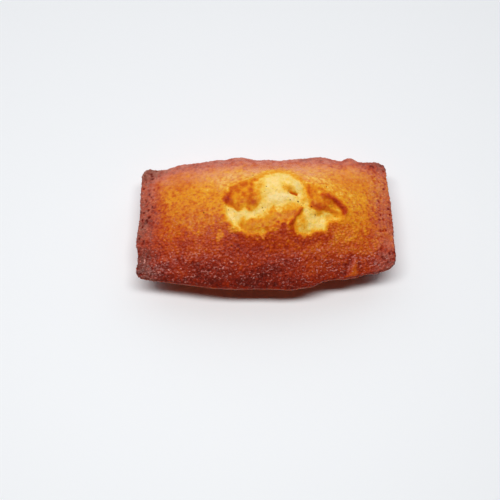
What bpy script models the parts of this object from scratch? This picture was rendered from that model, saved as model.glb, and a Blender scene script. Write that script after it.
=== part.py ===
"""A financier: a small almond cake baked in a rectangular mould, in metres, +Z up.

The cake is one solid. It rests on its flat base, under the origin, with its length along X and its front at -Y.
The sloping sides carry the shape of the mould. The batter rose over the mould's two long edges, so they bulge,
and the domed top tore open along its middle: soft crumb swelled up there between flaps of crust.
"""

import bmesh
import bpy
import numpy as np

MM = 0.001

# The mould's shape, which the base, the ends and the corners of the cake keep
RIM_LENGTH = 86.0 * MM
RIM_WIDTH = 40.0 * MM
RIM_HEIGHT = 12.5 * MM
RIM_CORNER = 3.0 * MM
RIM_ROUNDING = 1.1 * MM
BASE_LENGTH = 77.0 * MM
BASE_WIDTH = 32.0 * MM
BASE_CORNER = 4.0 * MM
BASE_ROUNDING = 1.8 * MM
WALL_SLOPE = np.radians(21.0)

# How far each edge swelled over the mould: centre and reach along the edge, and the swelling, in millimetres
FRONT_SWELLINGS = ((-1.0, 42.0, 5.2), (10.0, 8.0, 0.5), (21.0, 5.5, -0.9))
BACK_SWELLINGS = ((0.0, 40.0, 3.1), (-9.0, 8.0, 0.4), (5.0, 9.0, -0.8), (19.0, 8.0, 0.5), (30.6, 2.6, 0.9),
                  (-37.0, 4.0, -0.5))
LEFT_SWELLINGS = ((-7.0, 6.0, 0.4), (-17.5, 3.0, 0.3), (17.0, 7.0, -0.4))
RIGHT_SWELLINGS = ((-1.0, 8.0, 0.4), (-17.0, 3.0, 0.3), (17.0, 7.0, -0.3))
BULGE_FADE = 1.6

# The dome of the top, above the rim
DOME_RISE = 8.6 * MM
DOME_LENGTH_POWER = 2.8
DOME_WIDTH_POWER = 2.5
MOUND_RISE = 2.4 * MM
MOUND_CENTRE = (6.0 * MM, 2.0 * MM)
MOUND_REACH = (27.0 * MM, 17.0 * MM)

# The tear in the crust, as seen from above, in millimetres from the cake's middle
TEAR_EDGE = (
    (-13.8, 1.5), (-12.4, 6.2), (-9.0, 9.4), (-3.0, 11.6), (1.0, 14.5), (6.0, 15.4), (10.2, 12.4),
    (12.8, 9.0), (19.7, 6.4), (25.0, 3.8), (27.8, -0.8), (23.6, -4.4), (20.0, -7.6), (15.4, -8.5),
    (11.2, -9.7), (8.4, -7.0), (3.8, -6.8), (-1.2, -9.6), (-6.8, -8.5), (-11.6, -6.2), (-13.9, -2.4),
)
TEAR_DEPTH = 1.5 * MM
TEAR_LIP = 1.6 * MM

# Flaps of crust that the tear left standing on the crumb, each with its rise over the crumb's floor
LEFT_FLAP = (
    (-13.4, 4.2), (-11.5, 7.6), (-6.5, 10.6), (-2.6, 11.2), (-2.2, 7.0), (-0.4, 3.0), (-1.6, -0.4),
    (-5.6, -1.6), (-9.2, -0.4), (-12.4, 2.2),
)
CENTRE_FLAP = (
    (-8.2, -3.0), (-3.0, -2.6), (0.4, -1.2), (3.4, 1.2), (8.2, 1.8), (12.2, -0.4), (9.6, -3.8),
    (6.6, -7.0), (-1.2, -9.8), (-8.6, -7.6),
)
RIGHT_FLAP = (
    (13.8, 8.2), (19.7, 6.4), (24.8, 3.8), (27.4, -0.8), (25.0, -0.2), (22.6, 0.2), (19.4, -1.7),
    (15.4, -0.6), (13.4, 4.0),
)
FLAP_RISES = ((LEFT_FLAP, 2.1 * MM), (CENTRE_FLAP, 1.7 * MM), (RIGHT_FLAP, 1.9 * MM))
FLAP_EDGE = 1.4 * MM

# Where the crumb puffed up highest, between the flaps
PUFF_CENTRE = (5.0 * MM, 9.0 * MM)
PUFF_REACH = (9.0 * MM, 8.0 * MM)
PUFF_RISE = 1.6 * MM

# The folded lips along the flaps, as lines with a rise and a half-width
RIDGES = (
    (((-13.6, 4.3), (-11.8, 7.3), (-6.2, 10.4), (-2.8, 11.2)), 0.5 * MM, 1.3 * MM),
    (((19.4, 4.8), (24.2, 2.8), (27.7, -1.1)), 0.9 * MM, 1.3 * MM),
    (((12.2, -0.6), (9.7, -3.7), (8.3, -6.4)), 0.8 * MM, 1.2 * MM),
)

# The mesh
TOP_COLUMNS = 70
TOP_ROWS = 38
TOP_CROWDING = 0.35
RIM_RINGS = 4
WALL_RINGS = 3
BASE_RINGS = 3
CURVE_STEPS = 4

CRUST_COLOUR = (0.56, 0.20, 0.045, 1.0)
CRUST_ROUGHNESS = 0.55


def smooth_step(amount):
    """0 up to an amount of 0, 1 from an amount of 1, with a soft start and end."""
    held = np.clip(amount, 0.0, 1.0)
    return held * held * (3.0 - 2.0 * held)


def soft_bump(distance):
    """1 at a distance of 0, falling smoothly to 0 at a distance of 1."""
    return np.clip(1.0 - distance * distance, 0.0, None) ** 1.5


def smooth_line(points, closed):
    """A round curve through points given in millimetres, as metres, CURVE_STEPS stretches to each gap."""
    corners = np.array(points) * MM
    if closed:
        padded = np.concatenate([corners[-1:], corners, corners[:2]])
    else:
        padded = np.concatenate([corners[:1], corners, corners[-1:]])
    line = []
    for before, start, end, after in zip(padded, padded[1:], padded[2:], padded[3:]):
        for step in range(CURVE_STEPS):
            t = step / CURVE_STEPS
            line.append(0.5 * (2.0 * start + (end - before) * t
                               + (2.0 * before - 5.0 * start + 4.0 * end - after) * t ** 2
                               + (3.0 * start - before - 3.0 * end + after) * t ** 3))
    line.append(corners[0] if closed else corners[-1])
    return np.array(line)


def distance_to_line(x, y, line):
    """How far each point lies from the nearest stretch of the line."""
    nearest = np.full(x.shape, np.inf)
    for (ax, ay), (bx, by) in zip(line, line[1:]):
        run_x, run_y = bx - ax, by - ay
        along = np.clip(((x - ax) * run_x + (y - ay) * run_y) / (run_x ** 2 + run_y ** 2), 0.0, 1.0)
        nearest = np.minimum(nearest, np.hypot(x - ax - along * run_x, y - ay - along * run_y))
    return nearest


def depth_inside(x, y, loop):
    """How far each point lies inside a closed line, negative outside it."""
    inside = np.zeros(x.shape, bool)
    for (ax, ay), (bx, by) in zip(loop, loop[1:]):
        if ay != by:
            crosses = (ay > y) != (by > y)
            inside ^= crosses & (x < ax + (y - ay) / (by - ay) * (bx - ax))
    away = distance_to_line(x, y, loop)
    return np.where(inside, away, -away)


def swelling(along, swellings):
    """How far an edge stands out at each place along it."""
    return sum(rise * MM * soft_bump((along - centre * MM) / (reach * MM)) for centre, reach, rise in swellings)


def plan_position(across, back, length, width, corner, bulge):
    """Where a point of the square from -1 to 1 lies in a rounded rectangle whose edges swell by a share, bulge."""
    x = across * length / 2.0
    y = back * width / 2.0
    over_x = np.clip(np.abs(x) - (length / 2.0 - corner), 0.0, None)
    over_y = np.clip(np.abs(y) - (width / 2.0 - corner), 0.0, None)
    in_corner = (over_x > 0.0) & (over_y > 0.0)
    pull = np.where(in_corner, np.maximum(over_x, over_y) / np.maximum(np.hypot(over_x, over_y), 1e-12), 1.0)
    x = x - np.sign(x) * over_x * (1.0 - pull)
    y = y - np.sign(y) * over_y * (1.0 - pull)
    ends = (swelling(y, RIGHT_SWELLINGS) * np.clip(across, 0.0, 1.0) ** 4
            - swelling(y, LEFT_SWELLINGS) * np.clip(-across, 0.0, 1.0) ** 4)
    sides = (swelling(x, BACK_SWELLINGS) * np.clip(back, 0.0, 1.0) ** 2
             - swelling(x, FRONT_SWELLINGS) * np.clip(-back, 0.0, 1.0) ** 2)
    return x + bulge * ends, y + bulge * sides


def dome_height(across, back):
    """The dome without its tear: nothing at the rim, highest at the middle."""
    along_length = 1.0 - np.abs(across) ** DOME_LENGTH_POWER
    along_width = 1.0 - np.abs(back) ** DOME_WIDTH_POWER
    return DOME_RISE * along_length * along_width


def mound(x, y, centre, reach):
    """A rounded oval heap, 1 at its centre and 0 at its edge."""
    return soft_bump(np.hypot((x - centre[0]) / reach[0], (y - centre[1]) / reach[1]))


def tear_relief(x, y):
    """The height that the tear adds to the dome, or takes away: crumb floor, flaps of crust and folded lips."""
    opened = smooth_step(depth_inside(x, y, smooth_line(TEAR_EDGE, True)) / TEAR_LIP)
    relief = -TEAR_DEPTH * opened
    relief += PUFF_RISE * mound(x, y, PUFF_CENTRE, PUFF_REACH) * opened
    for outline, rise in FLAP_RISES:
        relief += rise * opened * smooth_step(depth_inside(x, y, smooth_line(outline, True)) / FLAP_EDGE)
    for points, rise, half_width in RIDGES:
        relief += rise * np.exp(-(distance_to_line(x, y, smooth_line(points, False)) / half_width) ** 2)
    return relief


def wall_rings():
    """Each ring of the side from the top's edge to the base: length, width, corner radius, share of bulge, height."""
    rings = []
    for turn in np.linspace(0.0, np.pi / 2.0 + WALL_SLOPE, RIM_RINGS + 1)[1:]:
        inset = RIM_ROUNDING * (1.0 - np.sin(turn))
        rings.append((RIM_LENGTH - 2.0 * inset, RIM_WIDTH - 2.0 * inset, RIM_CORNER - inset, 1.0,
                      RIM_HEIGHT - RIM_ROUNDING * (1.0 - np.cos(turn))))
    top, bottom = rings[-1], (BASE_LENGTH, BASE_WIDTH, BASE_CORNER, 0.0, BASE_ROUNDING * (1.0 - np.sin(WALL_SLOPE)))
    for down in np.linspace(0.0, 1.0, WALL_RINGS + 2)[1:]:
        length, width, corner, _, height = (high + (low - high) * down for high, low in zip(top, bottom))
        rings.append((length, width, corner, (1.0 - down) ** BULGE_FADE, height))
    for turn in np.linspace(WALL_SLOPE, np.pi / 2.0, BASE_RINGS + 1)[1:]:
        inset = BASE_ROUNDING * (np.cos(WALL_SLOPE) - np.cos(turn))
        rings.append((BASE_LENGTH - 2.0 * inset, BASE_WIDTH - 2.0 * inset, BASE_CORNER - inset, 0.0,
                      BASE_ROUNDING * (1.0 - np.sin(turn))))
    return rings


def flat_pattern(ring_count):
    """A square sheet from -1 to 1 whose edge is drawn down ring by ring, one unit each, and closed by one face."""
    pattern = bmesh.new()
    bmesh.ops.create_grid(pattern, x_segments=TOP_COLUMNS, y_segments=TOP_ROWS, size=1.0)
    edge = [e for e in pattern.edges if e.is_boundary]
    for _ in range(ring_count):
        drawn = bmesh.ops.extrude_edge_only(pattern, edges=edge)["geom"]
        edge = [g for g in drawn if isinstance(g, bmesh.types.BMEdge) and g.is_boundary]
        bmesh.ops.translate(pattern, verts=[g for g in drawn if isinstance(g, bmesh.types.BMVert)], vec=(0, 0, -1))
    bmesh.ops.contextual_create(pattern, geom=edge)
    bmesh.ops.recalc_face_normals(pattern, faces=pattern.faces)
    return pattern


def crowded(place):
    """Draws the even lines of the pattern, from -1 to 1, closer together in its middle, where the tear is."""
    return place - TOP_CROWDING * np.sin(np.pi * place) / np.pi


def shape_cake(places, rings):
    """Moves the pattern's points, a row of three numbers each, to where they lie on the cake."""
    across, back = crowded(places[:, 0]), crowded(places[:, 1])
    ring = np.round(-places[:, 2]).astype(int)
    x, y = plan_position(across, back, RIM_LENGTH - 2.0 * RIM_ROUNDING, RIM_WIDTH - 2.0 * RIM_ROUNDING,
                         RIM_CORNER - RIM_ROUNDING, 1.0)
    z = RIM_HEIGHT + dome_height(across, back) + MOUND_RISE * mound(x, y, MOUND_CENTRE, MOUND_REACH)
    z = z + tear_relief(x, y)
    for number, (length, width, corner, bulge, height) in enumerate(rings, start=1):
        here = ring == number
        x[here], y[here] = plan_position(across[here], back[here], length, width, corner, bulge)
        z[here] = height
    return np.stack([x, y, z], axis=1)


def crust_material():
    """Browned crust, for the whole cake."""
    material = bpy.data.materials.new("browned_crust")
    material.use_nodes = True
    shader = material.node_tree.nodes["Principled BSDF"]
    shader.inputs["Base Color"].default_value = CRUST_COLOUR
    shader.inputs["Roughness"].default_value = CRUST_ROUGHNESS
    shader.inputs["Metallic"].default_value = 0.0
    return material


def make_cake():
    """The whole cake, as one closed mesh."""
    rings = wall_rings()
    pattern = flat_pattern(len(rings))
    mesh = bpy.data.meshes.new("financier")
    pattern.to_mesh(mesh)
    pattern.free()
    places = np.zeros(len(mesh.vertices) * 3)
    mesh.vertices.foreach_get("co", places)
    shaped = shape_cake(places.reshape(-1, 3), rings)
    mesh.vertices.foreach_set("co", shaped.ravel())
    mesh.shade_smooth()
    mesh.materials.append(crust_material())
    mesh.update()
    cake = bpy.data.objects.new("financier", mesh)
    bpy.context.scene.collection.objects.link(cake)
    return cake


for leftover in list(bpy.data.objects):
    bpy.data.objects.remove(leftover)
make_cake()
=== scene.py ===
"""The looks of a financier: a small almond cake with a browned, finely grained crust and a torn top."""

import bmesh
import bpy
import numpy as np
from mathutils import Matrix, Vector, noise


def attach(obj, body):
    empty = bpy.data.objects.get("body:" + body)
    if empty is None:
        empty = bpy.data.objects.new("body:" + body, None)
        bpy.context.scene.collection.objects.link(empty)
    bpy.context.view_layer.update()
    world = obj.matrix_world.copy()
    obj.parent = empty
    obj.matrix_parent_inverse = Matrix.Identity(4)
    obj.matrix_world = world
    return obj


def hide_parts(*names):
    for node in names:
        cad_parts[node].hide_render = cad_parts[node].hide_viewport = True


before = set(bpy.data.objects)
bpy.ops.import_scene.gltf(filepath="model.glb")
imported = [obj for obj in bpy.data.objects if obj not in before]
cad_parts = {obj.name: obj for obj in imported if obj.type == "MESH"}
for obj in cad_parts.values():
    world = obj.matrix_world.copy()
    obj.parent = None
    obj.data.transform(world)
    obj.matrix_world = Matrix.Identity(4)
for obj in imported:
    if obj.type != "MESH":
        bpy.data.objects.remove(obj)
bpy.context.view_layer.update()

# The view
# A camera a quarter of a metre away looks steeply down on the cake from its front, a little left of the
# middle. Its upright stays level, and its 54 mm lens shows a good part of the table around the cake.

MM = 0.001
CAMERA_PLACE = Vector((-8.15, -99.55, 248.9)) * MM
CAMERA_AIM = Vector((-5.41, -11.24, 12.5)) * MM
CAMERA_LENS = 54.0
CAMERA_SENSOR = 36.0
CAMERA_NEAREST = 10.0 * MM


def turned_to(place, aim):
    """The turn that points a camera or a lamp at place towards aim."""
    return (Vector(aim) - Vector(place)).to_track_quat("-Z", "Y").to_euler()


def make_camera():
    """The camera of the main view."""
    lens = bpy.data.cameras.new("view")
    lens.lens = CAMERA_LENS
    lens.sensor_width = CAMERA_SENSOR
    lens.clip_start = CAMERA_NEAREST
    camera = bpy.data.objects.new("view", lens)
    camera.location = CAMERA_PLACE
    camera.rotation_euler = turned_to(CAMERA_PLACE, CAMERA_AIM)
    bpy.context.scene.collection.objects.link(camera)
    return camera


bpy.context.scene.camera = make_camera()
bpy.context.scene.view_settings.view_transform = "Standard"

# The table and its light
# A plain near-white table top carries the cake. A long soft lamp hangs high above its middle, so that only
# the swollen front edge throws a narrow shadow. The room is bright behind the cake and dim before it.

TABLE_SIZE = 6.0
TABLE_DROP = 0.02 * MM
TABLE_COLOUR = (0.868, 0.893, 0.928, 1.0)
TABLE_ROUGHNESS = 0.55
ROOM_COLOUR = (0.95, 0.96, 1.0, 1.0)
ROOM_BEFORE = 0.015
ROOM_BEHIND = 0.77
ROOM_SEEN = 0.8
# How far backwards a direction points where the room starts to brighten, and where it is brightest
ROOM_TURN = (0.08, 0.6)
LAMP_PLACE = (-0.04, -0.003, 0.60)
LAMP_SIZE = (0.6, 0.10)
LAMP_POWER = 3.25
LAMP_COLOUR = (1.0, 0.99, 0.965)


def add_node(tree, kind, inputs=None, **settings):
    """Adds a node. Each entry of inputs is a value, or another node's output that is linked there."""
    node = tree.nodes.new(kind)
    for name, value in settings.items():
        setattr(node, name, value)
    for name, value in (inputs or {}).items():
        if isinstance(value, bpy.types.NodeSocket):
            tree.links.new(value, node.inputs[name])
        else:
            node.inputs[name].default_value = value
    return node


def compute(tree, operation, *values):
    """One step of arithmetic on outputs and numbers, and its result."""
    return add_node(tree, "ShaderNodeMath", dict(enumerate(values)), operation=operation).outputs[0]


def new_material(name):
    """A material with its node tree and its Principled shader."""
    material = bpy.data.materials.new(name)
    material.use_nodes = True
    return material, material.node_tree, material.node_tree.nodes["Principled BSDF"]


def make_table():
    """The table top, a large square."""
    sheet = bmesh.new()
    bmesh.ops.create_grid(sheet, x_segments=1, y_segments=1, size=TABLE_SIZE / 2.0)
    bmesh.ops.translate(sheet, verts=sheet.verts, vec=(0.0, 0.0, -TABLE_DROP))
    mesh = bpy.data.meshes.new("table_top")
    sheet.to_mesh(mesh)
    sheet.free()
    material, _, shader = new_material("pale_table")
    shader.inputs["Base Color"].default_value = TABLE_COLOUR
    shader.inputs["Roughness"].default_value = TABLE_ROUGHNESS
    mesh.materials.append(material)
    table = bpy.data.objects.new("table_top", mesh)
    bpy.context.scene.collection.objects.link(table)
    return table


def hang_lamp():
    """The long lamp above the cake, which shines straight down."""
    lamp = bpy.data.lights.new("long_lamp", "AREA")
    lamp.shape = "RECTANGLE"
    lamp.size, lamp.size_y = LAMP_SIZE
    lamp.energy = LAMP_POWER
    lamp.color = LAMP_COLOUR
    holder = bpy.data.objects.new("long_lamp", lamp)
    holder.location = LAMP_PLACE
    bpy.context.scene.collection.objects.link(holder)


def light_room():
    """The light of the room, which comes from behind. The camera sees the room evenly pale."""
    world = bpy.data.worlds.new("room")
    world.use_nodes = True
    tree = world.node_tree
    direction = add_node(tree, "ShaderNodeTexCoord").outputs["Generated"]
    backwards = (0.0, 1.0, 0.0)
    behind = add_node(tree, "ShaderNodeVectorMath", {0: direction, 1: backwards}, operation="DOT_PRODUCT")
    strength = add_node(tree, "ShaderNodeMapRange", {
        "Value": behind.outputs["Value"], "From Min": ROOM_TURN[0], "From Max": ROOM_TURN[1],
        "To Min": ROOM_BEFORE, "To Max": ROOM_BEHIND}, interpolation_type="SMOOTHSTEP").outputs["Result"]
    seen = add_node(tree, "ShaderNodeLightPath").outputs["Is Camera Ray"]
    strength = compute(tree, "MAXIMUM", strength, compute(tree, "MULTIPLY", seen, ROOM_SEEN))
    background = tree.nodes["Background"]
    background.inputs["Color"].default_value = ROOM_COLOUR
    tree.links.new(strength, background.inputs["Strength"])
    bpy.context.scene.world = world


make_table()
hang_lamp()
light_room()

# The moulded body
# Butter-rich almond batter filled a bar-shaped mould with sloping sides, rose over its two long edges as it
# baked, and set into a low dome. The mould shaped the flat base, the smooth sides and the four corners.

RIM_LENGTH = 86.6 * MM
RIM_WIDTH = 40.6 * MM
RIM_HEIGHT = 12.5 * MM
RIM_CORNER = 3.0 * MM
RIM_ROUNDING = 1.1 * MM
RIM_START = np.radians(32.0)
BASE_LENGTH = 77.0 * MM
BASE_WIDTH = 32.0 * MM
BASE_CORNER = 4.0 * MM
BASE_ROUNDING = 1.8 * MM
WALL_SLOPE = np.radians(21.0)

# How far each edge swelled over the mould: centre and reach along the edge, and the swelling, in millimetres
FRONT_SWELLINGS = (
    (-1.0, 42.0, 5.0), (-4.0, 9.0, -0.4), (10.0, 8.0, 0.5), (21.0, 5.5, -0.9), (33.0, 4.0, -0.4),
    (41.0, 4.0, -0.6),
)
BACK_SWELLINGS = (
    (0.0, 40.0, 3.1), (-35.0, 5.0, -0.6), (-27.0, 7.0, 0.5), (-17.0, 5.0, 0.6), (-8.6, 5.0, 0.9),
    (-2.6, 3.6, -0.4), (5.0, 9.0, -0.8), (20.4, 6.6, 1.0), (30.9, 3.2, 1.5), (38.6, 3.4, 0.4),
)
LEFT_SWELLINGS = (
    (-6.5, 5.0, 0.6), (-18.0, 3.4, 0.5), (6.0, 8.0, -0.6), (16.0, 8.0, -0.8), (20.5, 3.0, -0.5),
)
RIGHT_SWELLINGS = ((-4.0, 7.0, 0.5), (5.0, 8.0, 0.4), (-13.0, 5.0, 0.4), (-20.0, 3.4, -1.0))

# How closely swellings and waves keep to the rim, as powers: a higher one keeps them closer
BULGE_FADE = 1.6
END_SWELLING_POWER = 4
EDGE_SWELLING_POWER = 2
RIM_WAVE_POWER = 12
OUTWARD_POWER = 5

DOME_RISE = 8.6 * MM
DOME_LENGTH_POWER = 2.8
DOME_WIDTH_POWER = 2.5
MOUND_RISE = 2.4 * MM
MOUND_CENTRE = (6.0, 2.0)
MOUND_REACH = (27.0, 17.0)

# The rim's uneven edge: the height of each layer of waves, their length along the rim, and a seed
EDGE_WAVES = ((0.14 * MM, 4.5 * MM, 1), (0.12 * MM, 1.6 * MM, 1))
NOISE_SHIFT = Vector((17.3, 9.1, 5.7))
NEARLY_ZERO = 1e-9

TOP_COLUMNS = 344
TOP_ROWS = 182
TOP_CROWDING = 0.22
RIM_RINGS = 6
WALL_RINGS = 20
BASE_RINGS = 4


def smooth_step(amount):
    """0 up to an amount of 0, 1 from an amount of 1, with a soft start and end."""
    held = np.clip(amount, 0.0, 1.0)
    return held * held * (3.0 - 2.0 * held)


def fade(value, span):
    """0 up to the first value of a span and 1 from its second, which may be the lower of the two."""
    start, full = span
    return smooth_step((value - start) / (full - start))


def soft_bump(distance):
    """1 at a distance of 0, falling smoothly to 0 at a distance of 1."""
    return np.clip(1.0 - distance * distance, 0.0, None) ** 1.5


def oval(x, y, centre, reach, turn=0.0):
    """A rounded oval heap, 1 at its centre and 0 at its edge, in millimetres and with its turn in degrees."""
    along, across = np.cos(np.radians(turn)), np.sin(np.radians(turn))
    east, north = x - centre[0] * MM, y - centre[1] * MM
    return soft_bump(np.hypot((east * along + north * across) / (reach[0] * MM),
                              (north * along - east * across) / (reach[1] * MM)))


def noise_at(places, size, seed):
    """Smooth noise from -1 to 1 at each place, with swells about as wide as size."""
    shift = NOISE_SHIFT * seed
    return np.array([noise.noise(Vector(place) / size + shift) for place in places])


def waves_at(places, waves):
    """Layers of smooth noise added up. Each wave has its height, the width of its swells and its seed."""
    return sum(rise * noise_at(places, span, seed) for rise, span, seed in waves)


def swelling(along, swellings):
    """How far an edge stands out at each place along it."""
    return sum(rise * MM * soft_bump((along - centre * MM) / (reach * MM))
               for centre, reach, rise in swellings)


def plan_position(across, back, length, width, corner, bulge):
    """Where a point of the square from -1 to 1 lies in a rounded rectangle with a share of the swellings."""
    x = across * length / 2.0
    y = back * width / 2.0
    over_x = np.clip(np.abs(x) - (length / 2.0 - corner), 0.0, None)
    over_y = np.clip(np.abs(y) - (width / 2.0 - corner), 0.0, None)
    in_corner = (over_x > 0.0) & (over_y > 0.0)
    pull = np.maximum(over_x, over_y) / np.maximum(np.hypot(over_x, over_y), NEARLY_ZERO)
    pull = np.where(in_corner, pull, 1.0)
    x = x - np.sign(x) * over_x * (1.0 - pull)
    y = y - np.sign(y) * over_y * (1.0 - pull)
    ends = (swelling(y, RIGHT_SWELLINGS) * np.clip(across, 0.0, 1.0) ** END_SWELLING_POWER
            - swelling(y, LEFT_SWELLINGS) * np.clip(-across, 0.0, 1.0) ** END_SWELLING_POWER)
    sides = (swelling(x, BACK_SWELLINGS) * np.clip(back, 0.0, 1.0) ** EDGE_SWELLING_POWER
             - swelling(x, FRONT_SWELLINGS) * np.clip(-back, 0.0, 1.0) ** EDGE_SWELLING_POWER)
    return x + bulge * ends, y + bulge * sides


def dome_height(across, back, x, y):
    """The dome without its tear: nothing at the rim, highest right of the middle."""
    along_length = 1.0 - np.abs(across) ** DOME_LENGTH_POWER
    along_width = 1.0 - np.abs(back) ** DOME_WIDTH_POWER
    return DOME_RISE * along_length * along_width + MOUND_RISE * oval(x, y, MOUND_CENTRE, MOUND_REACH)


def wall_rings():
    """Each ring below the top's edge: its length, width, corner radius, share of bulge and height."""
    rings = []
    for turn in np.linspace(RIM_START, np.pi / 2.0 + WALL_SLOPE, RIM_RINGS + 1)[1:]:
        inset = RIM_ROUNDING * (1.0 - np.sin(turn))
        rings.append((RIM_LENGTH - 2.0 * inset, RIM_WIDTH - 2.0 * inset, RIM_CORNER - inset, 1.0,
                      RIM_HEIGHT - RIM_ROUNDING * (np.cos(RIM_START) - np.cos(turn))))
    top = rings[-1]
    bottom = (BASE_LENGTH, BASE_WIDTH, BASE_CORNER, 0.0, BASE_ROUNDING * (1.0 - np.sin(WALL_SLOPE)))
    for down in np.linspace(0.0, 1.0, WALL_RINGS + 2)[1:]:
        length, width, corner, _, height = (high + (low - high) * down for high, low in zip(top, bottom))
        rings.append((length, width, corner, (1.0 - down) ** BULGE_FADE, height))
    for turn in np.linspace(WALL_SLOPE, np.pi / 2.0, BASE_RINGS + 1)[1:]:
        inset = BASE_ROUNDING * (np.cos(WALL_SLOPE) - np.cos(turn))
        rings.append((BASE_LENGTH - 2.0 * inset, BASE_WIDTH - 2.0 * inset, BASE_CORNER - inset, 0.0,
                      BASE_ROUNDING * (1.0 - np.sin(turn))))
    return rings


def flat_pattern(ring_count):
    """A square sheet from -1 to 1, its edge drawn down ring by ring, one unit each, and closed by a face."""
    pattern = bmesh.new()
    bmesh.ops.create_grid(pattern, x_segments=TOP_COLUMNS, y_segments=TOP_ROWS, size=1.0)
    edge = [line for line in pattern.edges if line.is_boundary]
    for _ in range(ring_count):
        drawn = bmesh.ops.extrude_edge_only(pattern, edges=edge)["geom"]
        edge = [part for part in drawn if isinstance(part, bmesh.types.BMEdge) and part.is_boundary]
        points = [part for part in drawn if isinstance(part, bmesh.types.BMVert)]
        bmesh.ops.translate(pattern, verts=points, vec=(0.0, 0.0, -1.0))
    bmesh.ops.contextual_create(pattern, geom=edge)
    bmesh.ops.recalc_face_normals(pattern, faces=pattern.faces)
    return pattern


def crowded(place):
    """Draws the pattern's even lines, from -1 to 1, closer together in the middle, where the tear is."""
    return place - TOP_CROWDING * np.sin(np.pi * place) / np.pi


rings = wall_rings()
pattern = flat_pattern(len(rings))
cake_mesh = bpy.data.meshes.new("financier_cake")
pattern.to_mesh(cake_mesh)
pattern.free()
cells = np.zeros(len(cake_mesh.vertices) * 3)
cake_mesh.vertices.foreach_get("co", cells)
cells = cells.reshape(-1, 3)
across, back = crowded(cells[:, 0]), crowded(cells[:, 1])
ring = np.round(-cells[:, 2]).astype(int)
on_top = ring == 0
rim_inset = RIM_ROUNDING * (1.0 - np.sin(RIM_START))
x, y = plan_position(across, back, RIM_LENGTH - 2.0 * rim_inset, RIM_WIDTH - 2.0 * rim_inset,
                     RIM_CORNER - rim_inset, 1.0)
z = RIM_HEIGHT + dome_height(across, back, x, y)
bulge_share = np.where(on_top, np.maximum(np.abs(across), np.abs(back)) ** RIM_WAVE_POWER, 0.0)
for number, (length, width, corner, bulge, height) in enumerate(rings, start=1):
    here = ring == number
    x[here], y[here] = plan_position(across[here], back[here], length, width, corner, bulge)
    z[here] = height
    bulge_share[here] = bulge ** 2
level_places = np.stack([x, y, np.zeros_like(x)], axis=1)
wave = waves_at(level_places, EDGE_WAVES) * bulge_share
outward = np.stack([across ** OUTWARD_POWER, back ** OUTWARD_POWER])
outward = outward / np.maximum(np.hypot(*outward), NEARLY_ZERO)
x = x + wave * outward[0]
y = y + wave * outward[1]

# The torn top
# The crust set before the middle had finished rising, so it burst: pale crumb swelled out between three
# flaps of crust, which lie on it with folded, scorched lips. One crease runs to the front edge.

CURVE_STEPS = 4

# How ragged the outlines are, to the right and to the back: layers of waves with height, length and seed
RAGGED_RIGHT = ((0.45 * MM, 1.9 * MM, 2), (0.22 * MM, 0.8 * MM, 3))
RAGGED_BACK = ((0.45 * MM, 1.9 * MM, 4), (0.22 * MM, 0.8 * MM, 5))

# Outlines as seen from above, in millimetres from the cake's middle
TEAR = (
    (-14.0, 0.7), (-13.7, 4.4), (-11.7, 7.7), (-9.3, 9.5), (-6.2, 10.8), (-3.0, 11.5), (-1.6, 12.7),
    (0.5, 14.6), (3.5, 15.2), (6.2, 15.4), (9.4, 13.8), (11.6, 11.2), (13.2, 9.3), (15.2, 8.3),
    (19.7, 6.3), (24.5, 4.2), (26.6, 1.6), (27.4, -1.6), (25.0, -4.4), (21.4, -5.7), (20.2, -8.2),
    (16.4, -8.8), (13.8, -9.9), (11.0, -9.9), (9.2, -8.6), (6.7, -6.0), (4.0, -6.6), (1.6, -8.0),
    (-0.8, -9.6), (-5.2, -9.3), (-8.8, -7.8), (-11.2, -6.0), (-13.2, -2.6),
)
LEFT_FLAP = (
    (-16.0, 3.8), (-14.4, 9.0), (-10.6, 11.8), (-6.6, 13.3), (-2.8, 13.6), (-2.6, 8.4), (-1.4, 6.1),
    (-0.2, 3.6), (-0.7, 1.5), (-2.8, -0.3), (-4.9, -1.7), (-6.9, 0.3), (-8.7, -0.9), (-10.9, 1.0),
    (-13.4, 2.0),
)
CENTRE_FLAP = (
    (-8.3, -3.1), (-4.9, -2.7), (-1.5, -2.4), (0.2, -1.4), (1.4, 0.3), (4.5, 0.8), (8.2, 1.3), (10.8, 0.8),
    (13.2, -0.4), (12.2, -2.8), (10.8, -5.0), (10.2, -7.8), (5.0, -8.6), (0.2, -9.2), (-3.4, -10.4),
    (-7.6, -8.9), (-9.3, -5.9),
)
RIGHT_FLAP = (
    (13.7, 9.4), (17.2, 9.4), (20.1, 8.2), (22.9, 7.2), (25.6, 5.8), (28.0, 3.0), (29.4, -0.6), (26.9, -1.4),
    (25.3, -0.2), (24.0, 0.7), (21.8, -0.7), (19.2, -1.7), (16.6, -1.3), (14.9, -0.5), (14.0, 2.2),
    (13.3, 4.6),
)
SCORCHED_PATCH = (
    (-1.2, -11.0), (-0.4, -9.6), (0.0, -8.2), (1.8, -8.3), (3.4, -8.0), (4.4, -7.2), (4.9, -6.0),
    (5.6, -5.6), (7.0, -6.1), (8.4, -5.3), (9.6, -4.6), (9.3, -6.8), (9.2, -10.2),
)
TEAR_DEPTH = 1.1 * MM
TEAR_LIP = 1.8 * MM
# Each flap with its rise over the crumb and the width of its sloping edge, in millimetres
FLAPS = ((LEFT_FLAP, 0.8, 3.2), (CENTRE_FLAP, 0.6, 3.0), (RIGHT_FLAP, 0.8, 2.8))

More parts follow.
